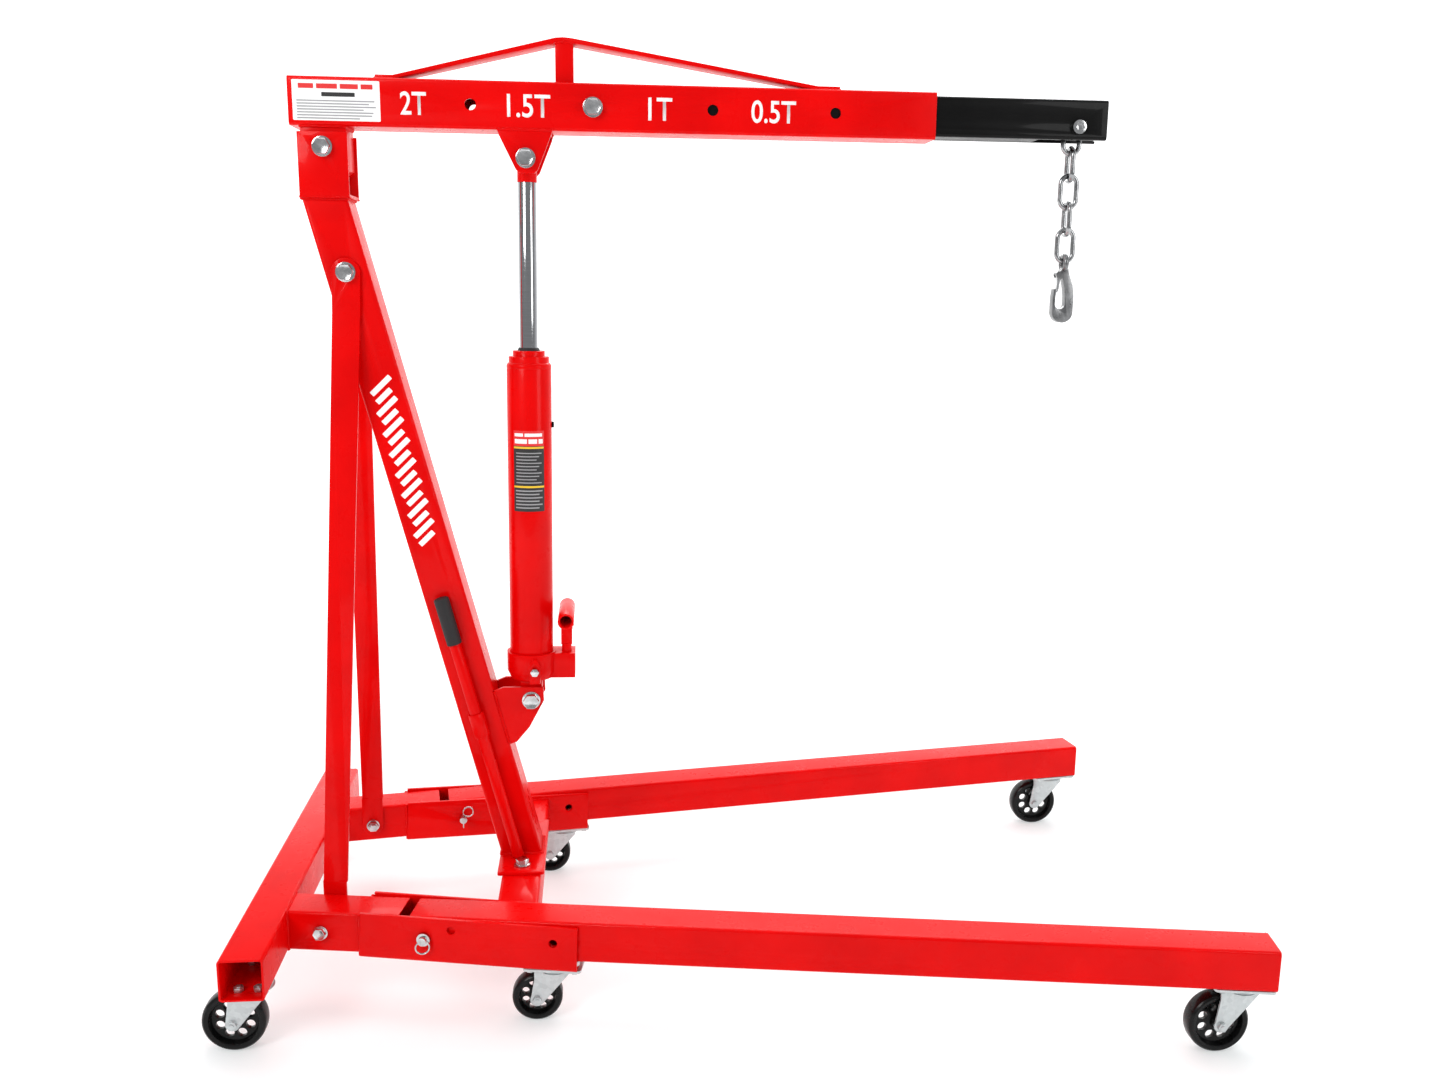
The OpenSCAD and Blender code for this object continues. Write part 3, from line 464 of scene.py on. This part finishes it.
finishes = {
    "red_paint": red_coat, "black_paint": black_coat, "bright_zinc": bright_zinc,
    "caster_zinc": fork_zinc.material, "hard_chrome": hard_chrome.material,
    "wheel_iron": wheel_black.material, "grip_rubber": grip_black.material,
    "forged_zinc": hook_zinc,
}
# How far each edge is rolled, by material slot and then for single nodes
edges = {
    "red_paint": 0.7, "black_paint": 0.6, "bright_zinc": 0.35, "caster_zinc": 0.45,
    "hard_chrome": 0.5, "wheel_iron": 0.7, "grip_rubber": 0.8, "forged_zinc": 1.2,
}
own_edge = {
    "hook_latch": 0.3, "ram_gland": 0.5, "pump_lever": 0.5, "boom_extension": 0.7,
    "leg_pins": 0.15,
}

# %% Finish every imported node
total = 0
for node in sorted(nodes):
    kind = slot_of[node]
    if node.startswith("chain_link"):
        done = refine(node, chain_zinc, 0)
    else:
        done = refine(node, finishes[kind], own_edge.get(node, edges[kind]))
    total += len(done.data.polygons)
print("finished nodes", len(nodes), "faces", total)

# %% [markdown]
# ## Weld beads
# The frame is welded, and a MIG bead looks like a row of overlapping coins. One coin is a
# small flattened ball. An Array modifier repeats it along each seam, half sunk in the
# corner, and the beads of one joint are joined into one piece.

# %% Lay a bead
COIN_FLATNESS = 0.62


def joined(parts, name, finish):
    """Join the parts into one named piece with one finish."""
    bpy.ops.object.select_all(action="DESELECT")
    for part in parts:
        part.select_set(True)
    bpy.context.view_layer.objects.active = parts[0]
    if len(parts) > 1:
        bpy.ops.object.join()
    piece = bpy.context.object
    piece.name = name
    piece.data.materials.append(finish)
    return piece


def bead(name, body, runs, size):
    laid = []
    for start, end in runs:
        reach = (end - start).length
        count = max(3, round(reach / (COIN_FLATNESS * size * MM)))
        bpy.ops.object.select_all(action="DESELECT")
        bpy.ops.mesh.primitive_uv_sphere_add(segments=10, ring_count=6, radius=size * MM)
        coin = bpy.context.object
        coin.scale = (1, 1, COIN_FLATNESS)
        bpy.ops.object.transform_apply(location=False, rotation=False, scale=True)
        row = coin.modifiers.new("row", "ARRAY")
        row.use_relative_offset = False
        row.use_constant_offset = True
        row.constant_offset_displace = (0, 0, reach / (count - 1))
        row.count = count
        apply_all(coin)
        turn = (end - start).to_track_quat("Z", "Y").to_matrix().to_4x4()
        coin.matrix_world = Matrix.Translation(start) @ turn
        only(coin)
        bpy.ops.object.transform_apply()
        laid.append(coin)
    piece = joined(laid, name, red_coat)
    only(piece)
    bpy.ops.object.shade_smooth_by_angle(angle=math.radians(60))
    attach(piece, body)
    print(name, len(runs), "runs", len(piece.data.polygons), "faces")


def ring(points):
    return [(points[i], points[(i + 1) % len(points)]) for i in range(len(points))]


# %% Seams of the mast
MAST_LEAN = math.radians(14.44)
MAST_FOOT = (400, 170)
FOOT_WELD, NECK_WELD = 165, 1219
half_mast = 32.5
half_cut = half_mast / math.cos(MAST_LEAN)


def mast_x(z):
    return MAST_FOOT[0] - (z - MAST_FOOT[1]) * math.tan(MAST_LEAN)


def round_mast(z):
    return ring([at(mast_x(z) + sx * half_cut, sy * half_mast, z)
                 for sx, sy in ((-1, -1), (1, -1), (1, 1), (-1, 1))])


bead("weld_mast_foot", "base_frame", round_mast(FOOT_WELD), 3.0)
bead("weld_mast_head", "base_frame", round_mast(NECK_WELD), 2.6)
bead("weld_ram_bracket_low", "base_frame", [
    (at(mast_x(446) + half_cut, s * 32, 446), at(mast_x(360) + half_cut, s * 32, 360))
    for s in (-1, 1)], 2.4)
bead("weld_head_corners", "base_frame", [
    (at(95.5, s * 39, 1221), at(168, s * 39, 1221)) for s in (-1, 1)], 1.6)

# %% Seams of the boom
BOOM_TOP = 1393
POST_REAR, POST_FRONT = 473.5, 500.5
bead("weld_truss", "boom_body", [
    (at(x, -19, BOOM_TOP + 0.5), at(x, 19, BOOM_TOP + 0.5)) for x in (208, 906)] + [
    (at(x0, y, BOOM_TOP + 0.5), at(x1, y, BOOM_TOP + 0.5))
    for x0, x1 in ((208, 233), (874, 906)) for y in (-20, 20)], 2.4)
bead("weld_post", "boom_body", ring([
    at(x, y, BOOM_TOP)
    for x, y in ((POST_REAR, -20), (POST_FRONT, -20), (POST_FRONT, 20), (POST_REAR, 20))]) + [
    (at(474, -19.4, 1449.4), at(486, -19.4, 1452)),
    (at(486, -19.4, 1452), at(500, -19.4, 1450)),
    (at(486.1, -19, 1456.7), at(486.1, 19, 1456.7))], 2.0)
LUG_TOP = 1322.6
bead("weld_lug", "boom_body", [
    (at(99.5, s * 30.2, LUG_TOP), at(163.5, s * 30.2, LUG_TOP)) for s in (-1, 1)] + [
    (at(x, -29, LUG_TOP), at(x, 29, LUG_TOP)) for x in (98.6, 164.6)], 2.4)
bead("weld_ram_bracket_high", "boom_body", [
    (at(387, s * 33.6, 1323.6), at(467, s * 33.6, 1323.6)) for s in (-1, 1)], 2.6)

# %% Seams of the base
SPLAY = math.radians(9.06)
TUBE = 63
STUB_OUTER = 222.4
CHANNEL_REAR, CHANNEL_INNER = 110.5, 68.5
LEG_TIP = 1456.6


def by_leg(side, t, y, z):
    return at(TUBE + t * math.cos(SPLAY) - y * math.sin(SPLAY),
              side * (STUB_OUTER + t * math.sin(SPLAY) + y * math.cos(SPLAY)), z)


def on_channel(side, x, z):
    """A point on the channel's inner face, at a given distance along the crane."""
    t = (x - TUBE - CHANNEL_INNER * math.sin(SPLAY)) / math.cos(SPLAY)
    return by_leg(side, t, -CHANNEL_INNER, z)


for side, word in ((-1, "right"), (1, "left")):
    inner_y = STUB_OUTER - TUBE / math.cos(SPLAY)
    bead("weld_stub_" + word, "base_frame", [
        (at(TUBE, side * inner_y, 108), at(TUBE, side * inner_y, 169)),
        (at(TUBE, side * STUB_OUTER, 108), at(TUBE, side * STUB_OUTER, 169)),
        (at(TUBE, side * inner_y, 168.9), at(TUBE, side * STUB_OUTER, 168.9))], 2.6)
    bead("weld_channel_" + word, "base_frame", [
        (by_leg(side, CHANNEL_REAR, y, 105), by_leg(side, CHANNEL_REAR, y, 169))
        for y in (0.8, -63.8)], 2.8)
    rear_high, rear_low, front_high, front_low = [
        on_channel(side, x, z) for x in (373, 436) for z in (159.5, 98)]
    bead("weld_cross_" + word, "base_frame", [
        (rear_high, front_high), (rear_high, rear_low),
        (front_high, front_low), (rear_low, front_low)], 2.4)
    bead("weld_leg_tip_" + word, word + "_leg_body", ring([
        by_leg(side, LEG_TIP, y, z)
        for y, z in ((-1.5, 108.5), (-61.5, 108.5), (-61.5, 168.5), (-1.5, 168.5))]), 0.9)

# %% [markdown]
# ## Printed marks
# Stickers and printed capacity marks are thin films, so they are made as real films a
# fraction of a millimetre proud. They carry only plain bars, stripes and numbers.
# A flat film starts as a plane, its corners are rounded with a vertex bevel, and Solidify
# gives it its thickness.

# %% Flat films


def film(name, finish, patches, thick, corner=0.0):
    made = []
    for centre, across, upward, wide, high in patches:
        bpy.ops.object.select_all(action="DESELECT")
        bpy.ops.mesh.primitive_plane_add(size=1)
        patch = bpy.context.object
        patch.scale = (wide * MM, high * MM, 1)
        bpy.ops.object.transform_apply(location=False, rotation=False, scale=True)
        if corner:
            bpy.ops.object.mode_set(mode="EDIT")
            bpy.ops.mesh.select_all(action="SELECT")
            bpy.ops.mesh.bevel(offset=corner * MM, segments=4, affect="VERTICES")
            bpy.ops.object.mode_set(mode="OBJECT")
        shell = patch.modifiers.new("thick", "SOLIDIFY")
        shell.thickness = thick * MM
        shell.offset = 1
        apply_all(patch)
        out = across.cross(upward)
        patch.matrix_world = Matrix((
            (across.x, upward.x, out.x, centre.x), (across.y, upward.y, out.y, centre.y),
            (across.z, upward.z, out.z, centre.z), (0, 0, 0, 1)))
        only(patch)
        bpy.ops.object.transform_apply()
        made.append(patch)
    return joined(made, name, finish)


X_AXIS, Z_AXIS = Vector((1, 0, 0)), Vector((0, 0, 1))
BOOM_SIDE = -35.0


def boom_patch(x0, x1, z0, z1, proud):
    middle = at((x0 + x1) / 2, BOOM_SIDE - proud, (z0 + z1) / 2)
    return (middle, X_AXIS, Z_AXIS, x1 - x0, z1 - z0)


# %% Rating plate of the boom
PLATE = 0.25
LINE_PITCH = 4.1
plate = film("boom_plate", white_ink, [boom_patch(91, 217, 1330, 1387, 0)], PLATE, 1.5)
heading = film("boom_plate_heading", red_ink, [
    boom_patch(x, x + w, 1375, 1382, PLATE)
    for x, w in ((100, 22), (126, 30), (160, 26), (190, 17))], 0.1, 0.8)
bar = film("boom_plate_bar", black_ink, [boom_patch(133, 181, 1364, 1370, PLATE)], 0.1, 1.0)
lines = film("boom_plate_lines", grey_ink, [
    boom_patch(97, 97 + w, 1357 - LINE_PITCH * i, 1358.9 - LINE_PITCH * i, PLATE)
    for i, w in enumerate((112, 104, 114, 96, 110, 108, 90))], 0.12)
for piece in (plate, heading, bar, lines):
    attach(piece, "boom_body")
print("rating plate", len(lines.data.polygons), "line faces")

# %% Capacity numbers of the boom
DIGIT_FOOT, DIGIT_TOP = 1341, 1374


def number(word, x0, x1):
    bpy.ops.object.select_all(action="DESELECT")
    bpy.ops.object.text_add()
    mark = bpy.context.object
    mark.data.body = word
    mark.data.size = 1.0
    mark.data.offset = 0.012
    bpy.ops.object.convert(target="MESH")
    mark = bpy.context.object
    lows = [min(v.co[i] for v in mark.data.vertices) for i in range(2)]
    highs = [max(v.co[i] for v in mark.data.vertices) for i in range(2)]
    wide, high = highs[0] - lows[0], highs[1] - lows[1]
    sx, sz = (x1 - x0) * MM / wide, (DIGIT_TOP - DIGIT_FOOT) * MM / high
    base = at(x0, BOOM_SIDE, DIGIT_FOOT)
    mark.matrix_world = Matrix((
        (sx, 0, 0, base.x - lows[0] * sx), (0, 0, -1, base.y),
        (0, sz, 0, base.z - lows[1] * sz), (0, 0, 0, 1)))
    only(mark)
    bpy.ops.object.transform_apply()
    shell = mark.modifiers.new("thick", "SOLIDIFY")
    shell.thickness = 0.12 * MM
    shell.offset = 1
    apply_all(mark)
    bpy.ops.object.mode_set(mode="EDIT")
    bpy.ops.mesh.select_all(action="SELECT")
    bpy.ops.mesh.remove_doubles(threshold=0.000002)
    bpy.ops.mesh.normals_make_consistent(inside=False)
    bpy.ops.object.mode_set(mode="OBJECT")
    mark.name = "capacity_" + word.replace(".", "_").lower()
    mark.data.materials.append(white_ink)
    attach(mark, "boom_body")
    print(mark.name, len(mark.data.polygons), "faces")


number("2T", 246, 284)
number("1.5T", 402, 466)
number("1T", 612, 648)
number("0.5T", 768, 836)

# %% Stripes on the mast
FIRST_STRIPE = 702
STRIPE_PITCH = 16.5
mast_up = Vector((-math.sin(MAST_LEAN), 0, math.cos(MAST_LEAN)))
mast_fore = Vector((math.cos(MAST_LEAN), 0, math.sin(MAST_LEAN)))
slant = (mast_up * 0.5 + mast_fore * 0.87).normalized()
slant_up = Vector((0, -1, 0)).cross(slant).normalized()
start = at(mast_x(FIRST_STRIPE), -half_mast, FIRST_STRIPE)
stripes = film("mast_stripes", white_ink, [
    (start + mast_up * (STRIPE_PITCH * MM * i), slant, slant_up, 40 if i % 2 else 30, 8.5)
    for i in range(16)], 0.2, 1.2)
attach(stripes, "base_frame")
print("mast stripes", len(stripes.data.polygons))

# %% [markdown]
# ## The sticker round the ram
# A sticker on a cylinder bends with it. A cylinder primitive a hair wider than the ram is
# bisected down to the arc and the height of each patch, and Solidify gives it thickness.

# %% Curved films
RAM_FOOT = (421.5, 432.0)
RAM_EYE = (428, 1283)
RAM_LEAN = math.atan2(RAM_EYE[0] - RAM_FOOT[0], RAM_EYE[1] - RAM_FOOT[1])


def on_ram(height):
    """The place and lean of something at a height in metres above the lower ram pin."""
    return (Matrix.Translation(at(RAM_FOOT[0], 0, RAM_FOOT[1]))
            @ Matrix.Rotation(RAM_LEAN, 4, "Y") @ Matrix.Translation((0, 0, height)))


def ram_patch(name, finish, patches):
    made = []
    for radius, low, high, start, end, thick in patches:
        bpy.ops.object.select_all(action="DESELECT")
        bpy.ops.mesh.primitive_cylinder_add(
            vertices=144, radius=radius * MM, depth=(high - low) * MM, end_fill_type="NOTHING")
        patch = bpy.context.object
        bpy.ops.object.mode_set(mode="EDIT")
        for degrees, keep in ((start, 1), (end, -1)):
            turn = math.radians(degrees - 90)
            bpy.ops.mesh.select_all(action="SELECT")
            bpy.ops.mesh.bisect(
                plane_co=(0, 0, 0), clear_inner=True,
                plane_no=(-math.sin(turn) * keep, math.cos(turn) * keep, 0))
        bpy.ops.object.mode_set(mode="OBJECT")
        shell = patch.modifiers.new("thick", "SOLIDIFY")
        shell.thickness = thick * MM
        shell.offset = 1
        apply_all(patch)
        patch.matrix_world = on_ram((low + high) / 2 * MM)
        only(patch)
        bpy.ops.object.transform_apply()
        made.append(patch)
    piece = joined(made, name, finish)
    only(piece)
    bpy.ops.object.shade_smooth_by_angle(angle=math.radians(30))
    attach(piece, "ram_body")
    print(name, len(piece.data.polygons), "faces")


# Each patch is radius, lower and upper edge, first and last angle, thickness
STICKER, PRINT = 35.02, 35.2
ram_patch("ram_sticker_black", black_ink, [(STICKER, 312, 416, -42, 42, 0.2)])
ram_patch("ram_sticker_red", red_ink, [(STICKER, 416, 440, -42, 42, 0.2)])
ram_patch("ram_sticker_yellow", yellow_ink, [
    (PRINT, low, low + 3, -41, 41, 0.12) for low in (412, 350)])
ram_patch("ram_sticker_heading", white_ink, [
    (PRINT, 431, 436, a, b, 0.1) for a, b in ((-38, -14), (-10, 36))] + [
    (PRINT, 420, 427, a, b, 0.1) for a, b in ((-38, -4), (0, 22), (26, 38))])
ram_patch("ram_sticker_lines", grey_ink, [
    (PRINT, 404 - 5.2 * i, 405.6 - 5.2 * i, -34, 34 - 7 * (i % 3), 0.1) for i in range(10)] + [
    (PRINT, 344 - 5.4 * i, 346 - 5.4 * i, -36, 36 - 9 * (i % 2), 0.1) for i in range(6)])

# %% [markdown]
# ## Small parts of the ram
# Where the chromed rod leaves the cylinder there is a black rubber wiper that scrapes it
# clean. It is a ring with a lip: a short tube primitive whose top loop is pulled in.

# %% Rod wiper
WIPER_HEIGHT = 0.5645
bpy.ops.object.select_all(action="DESELECT")
bpy.ops.mesh.primitive_cylinder_add(
    vertices=64, radius=0.0182, depth=0.005, end_fill_type="NOTHING")
wiper = bpy.context.object
wiper.name = "rod_wiper"
bpy.ops.object.mode_set(mode="EDIT")
bpy.ops.mesh.select_mode(type="VERT")
bpy.ops.mesh.select_all(action="DESELECT")
bpy.ops.object.mode_set(mode="OBJECT")
for vertex in wiper.data.vertices:
    vertex.select = vertex.co.z > 0
bpy.ops.object.mode_set(mode="EDIT")
bpy.ops.transform.resize(value=(0.87, 0.87, 1))
bpy.ops.mesh.extrude_region_move(TRANSFORM_OT_translate={"value": (0, 0, 0.0008)})
bpy.ops.transform.resize(value=(0.93, 0.93, 1))
bpy.ops.object.mode_set(mode="OBJECT")
lip = wiper.modifiers.new("wall", "SOLIDIFY")
lip.thickness = 0.0011
lip.offset = -1
round_lip = wiper.modifiers.new("round", "BEVEL")
round_lip.width = 0.0003
round_lip.segments = 2
apply_all(wiper)
wiper.matrix_world = on_ram(WIPER_HEIGHT)
only(wiper)
bpy.ops.object.transform_apply()
bpy.ops.object.shade_smooth_by_angle(angle=math.radians(35))
wiper.data.materials.append(grip_black.material)
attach(wiper, "ram_body")
print("rod wiper", len(wiper.data.polygons), "faces")

# %% [markdown]
# ## Last step
# Everything is deselected at the end.

# %% Deselect everything
bpy.ops.object.select_all(action="DESELECT")
